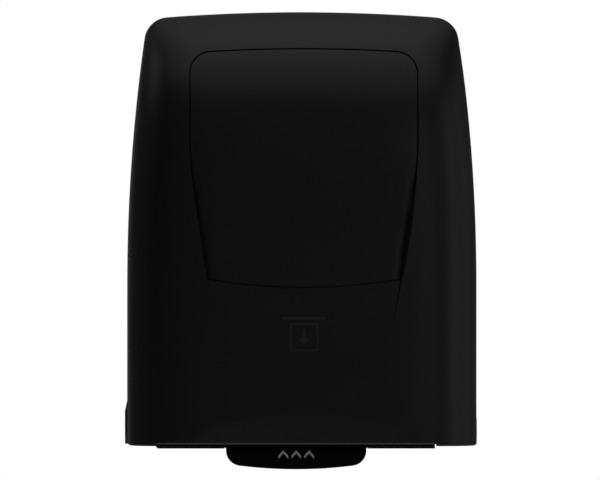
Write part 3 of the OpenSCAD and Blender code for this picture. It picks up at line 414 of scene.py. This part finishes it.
screw_boxes = islands("chassis_screws")
screw_low, screw_high = screw_boxes[0]
screw_len = screw_high.y - screw_low.y
head_r = (screw_high.x - screw_low.x) / 2
head_h = 2.4 * mm
head_seat = screw_len - head_h
head_rounding = ((1.0, 0.45), (0.9, 0.75), (0.6, 0.95))
shank_r = 1.65 * mm
screw_view = [(0, 0), (shank_r, 0), (shank_r, head_seat), (head_r, head_seat)]
screw_view += [(out * head_r, head_seat + up * head_h) for out, up in head_rounding]
screw = turned("screw", screw_view + [(0, screw_len)])
slot_w = 0.9 * mm
slot_len = 4 * mm
slot_low = screw_len - head_h / 2
carve(screw, [
    prism("slot", rectangle(*size), slot_low, screw_len + head_h, "Z")
    for size in ((slot_len, slot_w), (slot_w, slot_len))
])
screw_places = bpy.data.meshes.new("screw_places")
screw_places.from_pydata([((a.x + b.x) / 2, b.y, (a.z + b.z) / 2) for a, b in screw_boxes], [], [])
screws = joined("pan_head_screws", [grown(scatter_tree(), {
    "Template": screw, "Turn": (math.pi / 2, 0.0, 0.0), "Finish": zinc_steel,
}, screw_places)])
bpy.data.objects.remove(screw)
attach(screws, "chassis")
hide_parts("chassis_screws")


# Front cover
# A deep shell moulded in black ABS with a lightly textured satin skin. Two raised wings flank the
# place of the front panel, the lip is cut back in a shallow apron below an arched edge, and knuckles
# inside carry the hinge.
low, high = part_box("front_cover")
lip_z = low.z / mm
cover_w = (high.x - low.x) / mm
cover_h = (high.z - low.z) / mm
cover_d = 228.6
wall = 3.0
back_edge = 3.3
shoulder_r = 19.0
crown_rise = 4.8
shoulder_h = cover_h - crown_rise
side_straight_h = 150.0
side_curve_r = 1624.0
round_h = 250.0
front_lean = 6.0
plan_power = 6.5
roof_power = 2.8
roof_spread = 1.35
apron_h = 30.0
apron_half_w = 104.0
apron_tilt = math.radians(11)
lip_r = 2.0


def half_width(h):
    """Half width of the cover at a height above the lip."""
    side = cover_w / 2 - max(0.0, h - side_straight_h) ** 2 / (2 * side_curve_r)
    up = min(shoulder_r, max(0.0, h - shoulder_h + shoulder_r))
    return side - shoulder_r + math.sqrt(shoulder_r**2 - up**2)


def front_depth(h):
    """Depth of the front below the roof's curve."""
    return cover_d - front_lean * ((round_h - h) / round_h) ** 2


def apron_cut(x, h):
    """How far the apron is cut back below its arched upper edge."""
    arch = apron_h * math.sqrt(max(0.0, 1 - (x / apron_half_w) ** 2))
    return max(0.0, arch - h) * math.tan(apron_tilt)


def plan_share(u):
    """Share of the depth that the plan view keeps at u, the share of the half width."""
    return max(0.0, 1 - abs(u) ** plan_power) ** (1 / plan_power)


panel_w = 211.0
crease_bend_h = 285.0
crease_slope = 0.17
crease_round = 40.0
wing_depth = 4.5
wing_low_h = 111.0
wing_top_h = 275.0
wing_slant = 0.65
wing_ease = 1.3


def crease(h):
    """Distance of the crease between panel and wing from the middle."""
    down = max(0.0, crease_bend_h - h)
    return panel_w / 2 - crease_slope * (math.hypot(down, crease_round) - crease_round)


def wing_step(h):
    """How far the middle lies below the wings."""
    if not wing_low_h < h < wing_top_h:
        return 0.0
    return wing_depth * math.sin(math.pi * (h - wing_low_h) / (wing_top_h - wing_low_h)) ** wing_ease


def crown(h):
    """Rise of the crown in the middle of the roof."""
    return crown_rise * (max(0.0, h - round_h) / (shoulder_h - round_h)) ** 2


def front_row(h, inset):
    """Row of the skin below the roof: height on the skin, own height, depth, half width, inset."""
    return h, h, front_depth(h) - inset, half_width(h) - inset, inset


def roof_row(share, inset):
    """Row of the skin over the roof, from 0 at its start to 1 at the wall."""
    turn = math.pi / 2 * share**roof_spread
    up = math.sin(turn) ** (2 / roof_power)
    out = max(0.0, math.cos(turn)) ** (2 / roof_power)
    h = round_h + (shoulder_h - round_h) * up
    own = round_h + (shoulder_h - inset - round_h) * up
    return h, own, back_edge + (cover_d - inset - back_edge) * out, half_width(h) - inset, inset


def skin_point(row, x, sunk):
    """Point of the skin at x in a row; sunk is 1 between the creases and 0 on the wings."""
    h, own, depth, half = row[:4]
    full = back_edge + (depth - back_edge) * plan_share(x / half)
    y = sunk * wing_step(h) + apron_cut(x, h) - full
    return x * mm, y * mm, (lip_z + own + crown(h) * (1 - (x / half) ** 2)) * mm


lip_rows, apron_rows, front_rows, roof_rows = 6, 28, 56, 60
side_cols, mid_cols = 48, 88


def skin_rows(inset):
    """Rows of one face of the shell, from the lip to the wall, with the outer lip rounded."""
    rows = []
    for i in range(lip_rows):
        turn = math.pi / 2 * i / lip_rows
        round_off = lip_r if inset == 0 else 0.0
        h = lip_r * (1 - math.cos(turn))
        rows.append(front_row(h, inset + round_off * (1 - math.sin(turn))))
    rows += [front_row(lip_r + (apron_h - lip_r) * i / apron_rows, inset) for i in range(apron_rows)]
    rows += [front_row(apron_h + (round_h - apron_h) * i / front_rows, inset) for i in range(front_rows)]
    return rows + [roof_row(i / roof_rows, inset) for i in range(roof_rows + 1)]


def skin_line(row):
    """Points of one row from right to left: wing, sunk middle, wing."""
    h, half, inset = row[0], row[3], row[4]
    edge = crease(h) + inset
    turn = math.acos(min(1.0, (edge + wing_slant * wing_step(h)) / half) ** (plan_power / 2))
    wing = [half * math.cos(turn * j / side_cols) ** (2 / plan_power) for j in range(side_cols + 1)]
    middle = [edge * (1 - 2 * j / mid_cols) for j in range(mid_cols + 1)]
    return (
        [skin_point(row, x, 0) for x in wing]
        + [skin_point(row, x, 1) for x in middle]
        + [skin_point(row, -x, 0) for x in reversed(wing)]
    )


weld = 0.005 * mm


def shell(name, outer, inner):
    """Closed sheet between two grids of the same rows and columns."""
    mesh = bmesh.new()
    faces = [[[mesh.verts.new(p) for p in line] for line in grid] for grid in (outer, inner)]
    rows, cols = len(outer), len(outer[0])
    for grid in faces:
        for i in range(rows - 1):
            for j in range(cols - 1):
                mesh.faces.new((grid[i][j], grid[i][j + 1], grid[i + 1][j + 1], grid[i + 1][j]))
    rims = [
        [[grid[0][j] for j in range(cols)] for grid in faces],
        [[grid[-1][j] for j in range(cols)] for grid in faces],
        [[grid[i][0] for i in range(rows)] for grid in faces],
        [[grid[i][-1] for i in range(rows)] for grid in faces],
    ]
    for out, into in rims:
        for i in range(len(out) - 1):
            mesh.faces.new((out[i], out[i + 1], into[i + 1], into[i]))
    bmesh.ops.remove_doubles(mesh, verts=mesh.verts, dist=weld)
    bmesh.ops.recalc_face_normals(mesh, faces=mesh.faces)
    return in_scene(name, mesh)


def arc(x, y, radius, start, end, steps=24):
    """Points of an arc, angles in degrees."""
    angles = [math.radians(start + (end - start) * i / steps) for i in range(steps + 1)]
    return [(x + radius * math.cos(a), y + radius * math.sin(a)) for a in angles]


def circle(x, y, radius, steps):
    """Points of a whole circle."""
    return arc(x, y, radius, 0, 360 - 360 / steps, steps - 1)


def above_lip(view):
    """Points (place, height over the lip) in mm, moved into the part's frame."""
    return [(place * mm, (lip_z + h) * mm) for place, h in view]


panel_top_h = 368.5
panel_low_h = 147.0
panel_arch = 2.6
panel_sag = 7.5
panel_corner_r = 20.0
corner_turn = 88
outline_steps = 48


def panel_outline(grow):
    """Front view of the panel, grown outwards: drawn-in sides, round upper corners, sagging base."""
    base = panel_low_h + panel_sag - grow
    shoulder = panel_top_h - panel_arch - panel_corner_r
    flat = panel_w / 2 - panel_corner_r
    side = [base + (shoulder - base) * i / outline_steps for i in range(outline_steps)]
    right = [(crease(h) + grow, h) for h in side]
    right += arc(flat, shoulder, panel_corner_r + grow, 0, corner_turn)
    top = [flat * (1 - i / outline_steps) for i in range(outline_steps + 1)]
    right += [(x, shoulder + panel_corner_r + grow + panel_arch * (1 - (x / flat) ** 2)) for x in top]
    half = crease(base) + grow
    low_edge = [half * (2 * i / outline_steps - 1) for i in range(1, outline_steps)]
    below = [(x, base - panel_sag * (1 - (x / half) ** 2)) for x in low_edge]
    return above_lip(right + [(-x, h) for x, h in reversed(right[:-1])] + below)


def front_prism(name, outline):
    """Prism through the front half of the cover."""
    return prism(name, outline, -2 * cover_d * mm, -cover_d / 2 * mm)


panel_gap_out = 0.6
panel_gap_in = 0.75
skin_faces = [[skin_line(row) for row in skin_rows(inset)] for inset in (0.0, wall)]
cover = shell("cover_shell", *skin_faces)

ear_r, ear_web_y, ear_top_h = 12.5, -12.0, 41.0
ear_gap, ear_clear = 0.5, 0.3
hinge_y, hinge_h = -15.0, 13.0
notch_in = cover_w / 2 - wall + ear_clear - ear_gap
notch_r = ear_r + ear_gap
notch_web_y = ear_web_y - ear_gap
notch_top = ear_top_h + ear_gap
web_turn = math.degrees(math.acos((notch_web_y - hinge_y) / notch_r))
past_wall = 5.0
notch_view = [(past_wall, notch_top), (notch_web_y, notch_top)]
notch_view += arc(hinge_y, hinge_h, notch_r, web_turn, 270)
notch_view = above_lip(notch_view + [(hinge_y, -past_wall), (past_wall, -past_wall)])
barrel_low, barrel_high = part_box("lock_barrel")
lock_y = (barrel_low.y + barrel_high.y) / 2
lock_rim_r = (barrel_high.x - barrel_low.x) / 2
lock_rim_w, lock_rim_t = 2.4 * mm, 0.85 * mm
pocket_gap = 0.3 * mm
lock_steps = 48
past_roof = 15 * mm
strip_low, strip_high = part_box("paper_chute")
strip_gap = 1.0
lip_cut_low = strip_low.x / mm - strip_gap
lip_cut_w = (strip_high.x - strip_low.x) / mm + 2 * strip_gap
lip_cut_h, lip_bevel = 1.8, 1.2
lip_cut_steps = 80


def lip_section(x):
    """Section at x of the cut over the strip, which leaves a bevel along the lip."""
    bevel_top = lip_cut_h + lip_bevel
    face = skin_point(front_row(bevel_top, 0.0), x, 0)[1] / mm
    view = [
        (face - past_wall, bevel_top), (face, bevel_top), (face + lip_bevel, lip_cut_h),
        (-cover_d / 2, lip_cut_h), (-cover_d / 2, -past_wall), (face - past_wall, -past_wall),
    ]
    return [(x * mm, y, z) for y, z in above_lip(view)]


lip_places = [lip_cut_low + lip_cut_w * i / lip_cut_steps for i in range(lip_cut_steps + 1)]
lock_hole = circle(0, lock_y, lock_rim_r - lock_rim_w, lock_steps)
lock_pocket = circle(0, lock_y, lock_rim_r + pocket_gap, lock_steps)
carve(cover, [
    front_prism("opening", panel_outline(panel_gap_out)),
    prism("notch", notch_view, notch_in * mm, cover_w * mm, "X"),
    prism("notch", notch_view, -cover_w * mm, -notch_in * mm, "X"),
    loft("lip_cut", [lip_section(x) for x in lip_places]),
    prism("lock_hole", lock_hole, high.z - past_roof, high.z + past_roof, "Z"),
    prism("lock_pocket", lock_pocket, barrel_high.z - lock_rim_t, high.z + past_roof, "Z"),
])

knuckle_w, knuckle_reach = 6.8, 7.0
knuckle_r, arm_r = 10.0, 9.0
arm_out, arm_up = 38.0, 6.0
lean = math.degrees(math.acos((knuckle_r - arm_r) / math.hypot(arm_out, arm_up)))
along = math.degrees(math.atan2(arm_up, -arm_out))
knuckle_view = arc(hinge_y, hinge_h, knuckle_r, along + lean, along + 360 - lean)
knuckle_view += arc(hinge_y - arm_out, hinge_h + arm_up, arm_r, along - lean, along + lean)
knuckle_view = above_lip(knuckle_view)
pin_hole_r, pin_hole_steps = 3.55, 36
pin_view = above_lip(circle(hinge_y, hinge_h, pin_hole_r, pin_hole_steps))
knuckle_in = cover_w / 2 - wall - knuckle_reach
cover_parts = [cover]
for side in (-1, 1):
    ends = sorted((side * knuckle_in * mm, side * (knuckle_in + knuckle_w) * mm))
    knuckle = prism("knuckle", knuckle_view, *ends, "X")
    carve(knuckle, [prism("pin_hole", pin_view, ends[0] - mm, ends[1] + mm, "X")])
    cover_parts.append(knuckle)


def merged(name, parts):
    """One object of several, which are used up."""
    whole = joined(name, [part.data for part in parts])
    for part in parts:
        bpy.data.objects.remove(part)
    return whole


def smoothed(piece, material, angle=28):
    """Smooth shading that keeps edges sharper than an angle."""
    piece.data.materials.clear()
    piece.data.materials.append(material)
    piece.data.shade_smooth()
    piece.data.set_sharp_from_angle(angle=math.radians(angle))


front_cover = merged("front_cover_shell", cover_parts)
smoothed(front_cover, black_abs)
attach(front_cover, "cover")
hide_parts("front_cover")


# Front panel
# A thin black ABS plate with the cover's satin skin, flush at its top and sunk between the wings. It
# snaps in from behind with three clips, and a rim behind its edge closes the seam.
panel_t = 2.5
blank_cols = 56
blank_past_side, blank_past_end = 6, 22
roll_off_w = 6.0
roll_off_share = 0.65


def roll_off(x, h):
    """How far the panel's sides roll off towards the creases: 0 in the middle, 1 at a crease."""
    return (max(0.0, abs(x) - crease(h) + roll_off_w) / roll_off_w) ** 2


def panel_grid(inset, share):
    """Points of one face of a sheet larger than the panel, with this share of roll-off at its sides."""
    lowest, highest = panel_low_h - blank_past_end, panel_top_h + blank_past_end
    rows = [row for row in skin_rows(inset) if lowest < row[0] < highest]
    half = panel_w / 2 + blank_past_side
    across = [half * (1 - 2 * j / blank_cols) for j in range(blank_cols + 1)]
    return [[skin_point(row, x, 1 + share * roll_off(x, row[0])) for x in across] for row in rows]


def panel_sheet(near, far, grow, share=0.0):
    """Sheet between two depths below the panel's face, trimmed to the grown outline."""
    sheet = shell("panel", panel_grid(near, share), panel_grid(far, share))
    carve(sheet, [front_prism("trim", panel_outline(grow))], "INTERSECT")
    return sheet


panel = panel_sheet(0.0, panel_t, -panel_gap_in, roll_off_share)
rim_gap, rim_t, rim_reach, rim_w = 0.3, 1.2, 3.0, 5.0
rim_sheets = [
    panel_sheet(wall + rim_gap, wall + rim_gap + rim_t, rim_reach),
    panel_sheet(panel_t - rim_gap, wall + 2 * rim_gap, -panel_gap_in - rim_gap),
]
for sheet in rim_sheets:
    carve(sheet, [front_prism("trim", panel_outline(-rim_w))])

clip_len, clip_t, clip_gap, clip_sink = 14.0, 1.8, 0.8, 0.6
clip_root_high, clip_root_low, clip_bend, clip_drop = 12, 3, 1, 5


def panel_clip(x):
    """Snap clip behind the panel's lower edge, which reaches down behind the cover's wall."""
    h = panel_low_h + panel_sag * (x / crease(panel_low_h)) ** 2
    face = wing_step(h) - front_depth(h) * plan_share(x / half_width(h))
    root = face + panel_t - clip_sink
    behind = face + wall + clip_gap
    view = above_lip([
        (root, h + clip_root_high), (root, h + clip_root_low), (behind, h + clip_bend),
        (behind, h - clip_drop), (behind + clip_t, h - clip_drop), (behind + clip_t, h + clip_root_high),
    ])
    return prism("clip", view, (x - clip_len / 2) * mm, (x + clip_len / 2) * mm, "X")


clips = [panel_clip(i * panel_w / 4) for i in (-1, 0, 1)]
front_panel = merged("front_panel", [panel] + rim_sheets + clips)
smoothed(front_panel, black_abs)
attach(front_panel, "cover")
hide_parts("cover_panel")


# Lock
# A zinc die-cast barrel with a brass key plug, let into the roof near the wall. The plug turns a plated
# steel cam that catches behind the keeper on the chassis.
dress(zinc_steel, "lock_barrel", "lock_cam")
dress(turned_brass, "lock_plug")


# Sign on the cover
# A plain sign of a sheet with a down arrow under a bar, which says that the towel comes out below. It
# stands 0.15 mm proud, and its dark grey, a little lighter than the black, is a painted highlight that
# makes it stand out faintly.
sign_lift, sign_sink = 0.15, 0.1


def laid_mark(name, outlines, surface, material):
    """Thin mark: each outline laid on a surface that gives a point for x and height."""
    mesh = bmesh.new()
    for outline in outlines:
        front, back = [], []
        for x, h in outline:
            point = Vector(surface(x, h))
            front.append(mesh.verts.new(point - Vector((0, sign_lift * mm, 0))))
            back.append(mesh.verts.new(point + Vector((0, sign_sink * mm, 0))))
        n = len(outline)
        mesh.faces.new(front)
        mesh.faces.new(back)
        for i in range(n):
            mesh.faces.new((front[i], front[(i + 1) % n], back[(i + 1) % n], back[i]))
    bmesh.ops.recalc_face_normals(mesh, faces=mesh.faces)
    piece = in_scene(name, mesh)
    piece.data.materials.append(material)
    return piece


def frame_bars(width, height, line, h):
    """Four bars that make a rectangle's outline about a height."""
    upright = [rectangle(line, height, side * (width - line) / 2, h) for side in (-1, 1)]
    level = [rectangle(width - 2 * line, line, 0, h + side * (height - line) / 2) for side in (-1, 1)]
    return upright + level


# The sign's dark grey is lighter than the cover's black as a painted highlight of its raised edges.
sign_highlight_grey = moulded_plastic("sign_painted_highlight", "#131316", "#17171a", 0.6, 0.9 * mm, 0.01 * mm, shine=0.15)
sign_h = 101.0
sheet_w, sheet_h, sheet_line = 26.0, 26.0, 1.6
bar_w, bar_t, bar_rise = 40.0, 2.4, 4.6
stem_w, stem_len, stem_rise = 2.6, 9.0, 3.5
point_half_w, point_top, point_tip = 5.5, -1.0, -7.5
sign_outlines = [
    rectangle(bar_w, bar_t, 0, sign_h + sheet_h / 2 + bar_rise),
    rectangle(stem_w, stem_len, 0, sign_h + stem_rise),
    [(0, sign_h + point_tip), (point_half_w, sign_h + point_top), (-point_half_w, sign_h + point_top)],
] + frame_bars(sheet_w, sheet_h, sheet_line, sign_h)


def cover_face(x, h):
    """Point on the front of the cover, between the creases."""
    return skin_point(front_row(h, 0.0), x, 1)


sign = laid_mark("towel_sign", sign_outlines, cover_face, sign_highlight_grey)
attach(sign, "cover")


# Push paddle
# A black lever that hangs below the lip on its own shaft and is pressed to feed the first sheet. It is
# moulded in a duller ABS, with three mid grey chevrons printed where to press.
dull_abs = moulded_plastic("black_abs_dull", "#020203", "#030304", 0.55, 0.9 * mm, 0.02 * mm, shine=0.03)
dress(dull_abs, "push_paddle")
grey_ink = moulded_plastic("mid_grey_ink", "#5a5b5e", "#606164", 0.6, 0.9 * mm, 0.01 * mm, shine=0.2)
paddle_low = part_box("push_paddle")[0]
paddle_w = 130.0
chevron_w, chevron_h, chevron_t = 9.0, 8.0, 3.0
chevron_pitch = 12.0
mark_rise = 13.7


def chevron(x, h):
    """Outline of a chevron that points up, about its middle."""
    foot, tip = h - chevron_h / 2, h + chevron_h / 2
    left, right = x - chevron_w / 2, x + chevron_w / 2
    lower = [(left, foot), (x, tip - chevron_t), (right, foot)]
    return lower + [(px, py + chevron_t) for px, py in reversed(lower)]


def paddle_face(x, h):
    """Point on the front of the paddle, from its middle and its lower edge."""
    return paddle_low.x + (paddle_w / 2 + x) * mm, paddle_low.y, paddle_low.z + h * mm


chevrons = [chevron(i * chevron_pitch, mark_rise) for i in (-1, 0, 1)]
mark = laid_mark("paddle_chevrons", chevrons, paddle_face, grey_ink)
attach(mark, "paddle")


# Stage
# A plain pale floor well below, clear from its underside so that views from below aren't blocked, a
# white surround, a large soft light above and smaller ones around.
floor_drop, floor_size, floor_glow = 0.6, 6.0, 0.9
floor = bpy.data.objects.new("floor", bpy.data.meshes.new("floor"))
floor_corners = [(x, y, cad_low.z - floor_drop) for x, y in rectangle(floor_size, floor_size)]
floor.data.from_pydata(floor_corners, [], [(0, 1, 2, 3)])
bpy.context.scene.collection.objects.link(floor)
floor_paint, tree = blank_material("pale_matt_floor")
seen = add(tree, "ShaderNodeLightPath").outputs
matt = add(tree, "ShaderNodeBsdfDiffuse", {"Color": colour("#f2f2f0")})
glow = add(tree, "ShaderNodeEmission", {"Color": (1, 1, 1, 1), "Strength": 1.0})
blend = add(tree, "ShaderNodeMath", {0: seen["Is Camera Ray"], 1: floor_glow}, operation="MULTIPLY")
shown = add(tree, "ShaderNodeMixShader", {
    0: blend.outputs[0], 1: matt.outputs["BSDF"], 2: glow.outputs["Emission"],
})
from_below = add(tree, "ShaderNodeNewGeometry").outputs["Backfacing"]
clear = add(tree, "ShaderNodeBsdfTransparent")
one_sided = add(tree, "ShaderNodeMixShader", {
    0: from_below, 1: shown.outputs["Shader"], 2: clear.outputs["BSDF"],
})
add(tree, "ShaderNodeOutputMaterial", {"Surface": one_sided.outputs["Shader"]})
floor.data.materials.append(floor_paint)
floor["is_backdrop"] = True

# The surround is white where it is looked at. Gloss sees it white straight behind the object only, and
# everything else gets the dim level of the room.
world = bpy.data.worlds.new("studio")
bpy.context.scene.world = world
world.use_nodes = True
tree = world.node_tree
tree.nodes.clear()
seen = add(tree, "ShaderNodeLightPath").outputs
direction = add(tree, "ShaderNodeTexCoord").outputs["Generated"]
split = add(tree, "ShaderNodeSeparateXYZ", {"Vector": direction})
room_level, backdrop_edge = 0.036, 0.98
behind = add(tree, "ShaderNodeMapRange", {
    "Value": split.outputs["Y"], "From Min": backdrop_edge, "From Max": 1.0,
})
mirrored = add(tree, "ShaderNodeMath", {
    0: seen["Is Glossy Ray"], 1: behind.outputs["Result"],
}, operation="MULTIPLY")
direct = add(tree, "ShaderNodeMath", {
    0: seen["Is Camera Ray"], 1: seen["Is Transmission Ray"],
}, operation="MAXIMUM")
white = add(tree, "ShaderNodeMath", {0: direct.outputs[0], 1: mirrored.outputs[0]}, operation="MAXIMUM")
level = add(tree, "ShaderNodeMapRange", {"Value": white.outputs[0], "To Min": room_level, "To Max": 1.0})
surround = add(tree, "ShaderNodeBackground", {"Color": (1, 1, 1, 1), "Strength": level.outputs["Result"]})
add(tree, "ShaderNodeOutputWorld", {"Surface": surround.outputs["Background"]})


def soft_light(name, place, aim, size, watts):
    """A rectangular soft box at a place, aimed at a point."""
    lamp = bpy.data.lights.new(name, "AREA")
    lamp.shape = "RECTANGLE"
    lamp.size, lamp.size_y = size
    lamp.energy = watts
    holder = bpy.data.objects.new(name, lamp)
    holder.location = place
    holder.rotation_mode = "QUATERNION"
    holder.rotation_quaternion = (Vector(aim) - Vector(place)).to_track_quat("-Z", "Y")
    bpy.context.scene.collection.objects.link(holder)
    return holder


middle = (0, -0.15, 0)
soft_light("top_light", (0.1, -0.25, 1.9), (0.05, -0.2, 0.1), (2.4, 2.6), 17.5)
soft_light("right_light", (1.9, -0.35, 0.1), middle, (0.8, 1.8), 6.4)
soft_light("front_light", (0.9, -2.0, 0.3), middle, (0.6, 1.2), 5)
soft_light("left_light", (-1.5, 0.9, 1.0), (0, -0.1, 0.1), (0.5, 0.8), 1.5)
soft_light("low_light", (-0.1, -0.75, -0.78), (0, -0.2, -0.23), (1.4, 0.5), 0.2)
soft_light("under_light", (0, -0.2, -0.78), (0, -0.22, -0.2), (1.0, 0.4), 2.6)
soft_light("rear_light", (0, 2.2, 1.9), middle, (2.5, 1.0), 2)
soft_light("edge_light", (2.0, 1.2, 0.1), middle, (0.6, 1.6), 1.6)

# Two fill lights bring the colours up to a plain level. Gloss doesn't mirror them, and they leave the
# floor out.
fill_size, fill_watts = (2.0, 1.5), 60
left_out = bpy.data.collections.new("floor_only")
left_out.objects.link(floor)
left_out.collection_objects[0].light_linking.link_state = "EXCLUDE"
for name, place in (("front_fill", (-1.2, -3.0, 0.8)), ("back_fill", (1.0, 3.0, 0.8))):
    fill = soft_light(name, place, middle, fill_size, fill_watts)
    fill.visible_glossy = False
    fill.light_linking.receiver_collection = left_out

bpy.context.scene.view_settings.view_transform = "Standard"
low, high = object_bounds()
